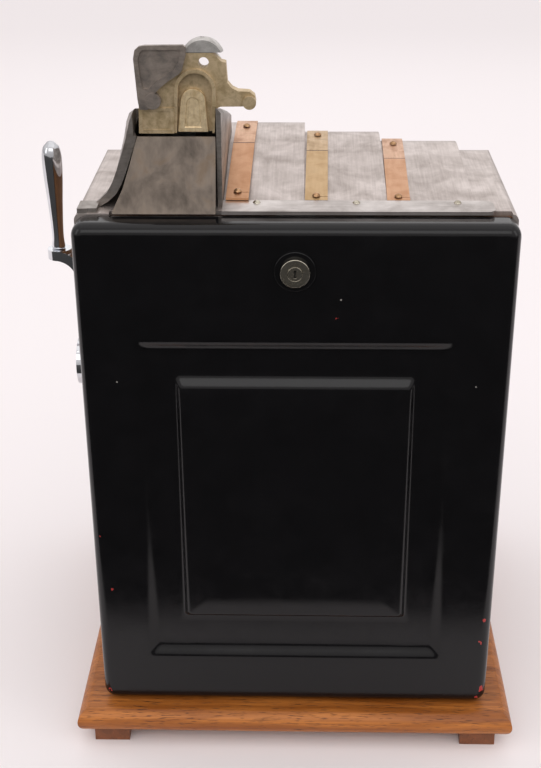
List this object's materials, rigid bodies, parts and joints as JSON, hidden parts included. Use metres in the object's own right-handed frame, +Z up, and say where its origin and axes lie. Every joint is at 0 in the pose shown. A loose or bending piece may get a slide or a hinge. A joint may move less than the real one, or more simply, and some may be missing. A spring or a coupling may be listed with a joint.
{
  "type": "mechanical reel slot machine",
  "caption": "Countertop mechanical fruit machine: oak and cast-aluminium case on a base board, pressed steel rear door with lock, coin head on a gooseneck and chrome side handle.",
  "frame": {"origin": "on the floor, in the centre of the four bolt holes in the feet", "axes": "+Z up; +Y towards the rear door; +X towards the handle side"},
  "size_m": [0.433, 0.4111, 0.6515],
  "materials": {
    "oak_board": "varnished, worn",
    "oak_feet": "oiled",
    "oak_panel": "varnished",
    "cast_aluminium": "satin",
    "trim_aluminium": "satin",
    "copper_strap": "satin",
    "screw_metal": "polished",
    "patinated_steel": "satin",
    "head_brass": "cast",
    "zinc": "pressed",
    "chrome_plate": "polished",
    "black_enamel": "gloss",
    "nickel": "satin",
    "steel": "machined",
    "green_enamel": "satin",
    "window_glass": "clear",
    "reel_white": "satin",
    "brass": "satin",
    "painted_tin": "satin"
  },
  "bodies": {
    "case": {"base_board": "oak_board", "base_feet": "oak_feet", "side_panel_right": "oak_panel", "side_panel_left": "oak_panel", "bottom_board": "oak_panel", "top_rear_rail": "oak_panel", "stepped_top": "cast_aluminium", "upper_front": "cast_aluminium", "lower_front": "cast_aluminium", "rear_trim_strip": "trim_aluminium", "trim_screws": "nickel", "strap_1": "copper_strap", "strap_2": "copper_strap", "strap_3": "copper_strap", "strap_screws": "screw_metal", "gooseneck_housing": "cast_aluminium", "chute_cover": "patinated_steel", "coin_head_body": "head_brass", "coin_head_cap": "chrome_plate", "coin_track_plate": "head_brass", "reel_window_frame": "chrome_plate", "reel_glass": "window_glass", "coin_window_glass": "window_glass", "award_frame": "chrome_plate", "award_glass": "window_glass", "coin_cup": "cast_aluminium", "handle_bush": "chrome_plate", "lock_keeper": "steel", "door_hinges": "steel", "return_spring": "steel", "mech_runners": "oak_panel", "mech_base": "green_enamel", "mech_side_right": "green_enamel", "mech_side_left": "green_enamel", "tie_rods": "steel", "reel_shaft": "steel", "coin_chute": "steel", "payout_tube": "brass", "cash_box": "painted_tin"},
    "door": {"back_door": "black_enamel", "door_knuckles": "steel", "lock_cup": "black_enamel", "lock_barrel": "nickel"},
    "lock": {"lock_plug": "nickel", "lock_cam": "steel"},
    "handle": {"handle_arm": "chrome_plate", "handle_grip": "chrome_plate", "handle_shaft": "steel", "handle_crank": "steel"},
    "link": {"operating_link": "steel"},
    "kicker": {"kicker": "steel"},
    "head_cover": {"coin_head_cover": "zinc"},
    "knob": {"return_knob": "chrome_plate"},
    "reel_one": {"reel_1": "reel_white"},
    "reel_two": {"reel_2": "reel_white"},
    "reel_three": {"reel_3": "reel_white"},
    "stop_one": {"stop_lever_1": "steel"},
    "stop_two": {"stop_lever_2": "steel"},
    "stop_three": {"stop_lever_3": "steel"},
    "fan": {"air_brake_fan": "brass"}
  },
  "joints": [
    {"name": "handle_pull", "type": "hinge", "parent": "case", "child": "handle", "pos_m": [0, 0.04, 0.332], "axis": [1, 0, 0], "range_deg": [0, 75], "stiffness_Nm_per_rad": 3, "springref_deg": -28.65},
    {"name": "link_swing", "type": "hinge", "parent": "handle", "child": "link", "pos_m": [0.1225, 0.04, 0.287], "axis": [1, 0, 0], "range_deg": [-80, 5]},
    {"name": "kicker_turn", "type": "hinge", "parent": "case", "child": "kicker", "pos_m": [0, 0.095, 0.215], "axis": [1, 0, 0], "range_deg": [-5, 80]},
    {"name": "door_tilt", "type": "hinge", "parent": "case", "child": "door", "pos_m": [0, 0.1694, 0.0501], "axis": [-1, 0, 0], "range_deg": [0, 88]},
    {"name": "lock_turn", "type": "hinge", "parent": "door", "child": "lock", "pos_m": [0, 0.16, 0.4764], "axis": [0, -1, 0], "range_deg": [0, 90]},
    {"name": "head_cover_swing", "type": "hinge", "parent": "case", "child": "head_cover", "pos_m": [0.1139, 0.133, 0.6036], "axis": [0, 1, 0], "range_deg": [0, 25], "stiffness_Nm_per_rad": 0.3, "springref_deg": -17.19},
    {"name": "return_push", "type": "slide", "parent": "case", "child": "knob", "axis": [0, 1, 0], "range_m": [0, 0.008], "stiffness_N_per_m": 300, "springref_m": -0.002},
    {"name": "reel_1_spin", "type": "hinge", "parent": "case", "child": "reel_one", "pos_m": [-0.085, -0.05212, 0.31666], "axis": [1, 0, 0], "continuous": true},
    {"name": "reel_2_spin", "type": "hinge", "parent": "case", "child": "reel_two", "pos_m": [-0.03, -0.05212, 0.31666], "axis": [1, 0, 0], "continuous": true},
    {"name": "reel_3_spin", "type": "hinge", "parent": "case", "child": "reel_three", "pos_m": [0.025, -0.05212, 0.31666], "axis": [1, 0, 0], "continuous": true},
    {"name": "stop_1_drop", "type": "hinge", "parent": "case", "child": "stop_one", "pos_m": [-0.06, -0.02666, 0.22556], "axis": [1, 0, 0], "range_deg": [0, 2.6], "stiffness_Nm_per_rad": 2, "springref_deg": -2.86},
    {"name": "stop_2_drop", "type": "hinge", "parent": "case", "child": "stop_two", "pos_m": [-0.005, -0.02666, 0.22556], "axis": [1, 0, 0], "range_deg": [0, 2.6], "stiffness_Nm_per_rad": 2, "springref_deg": -2.86},
    {"name": "stop_3_drop", "type": "hinge", "parent": "case", "child": "stop_three", "pos_m": [0.05, -0.02666, 0.22556], "axis": [1, 0, 0], "range_deg": [0, 2.6], "stiffness_Nm_per_rad": 2, "springref_deg": -2.86},
    {"name": "fan_spin", "type": "hinge", "parent": "case", "child": "fan", "pos_m": [-0.092, 0.066, 0.18], "axis": [0, 0, 1], "continuous": true}
  ],
  "couplings": [
    {"joint": "link_swing", "follows": "handle_pull", "ratio": -1},
    {"joint": "kicker_turn", "follows": "handle_pull", "ratio": 1}
  ]
}
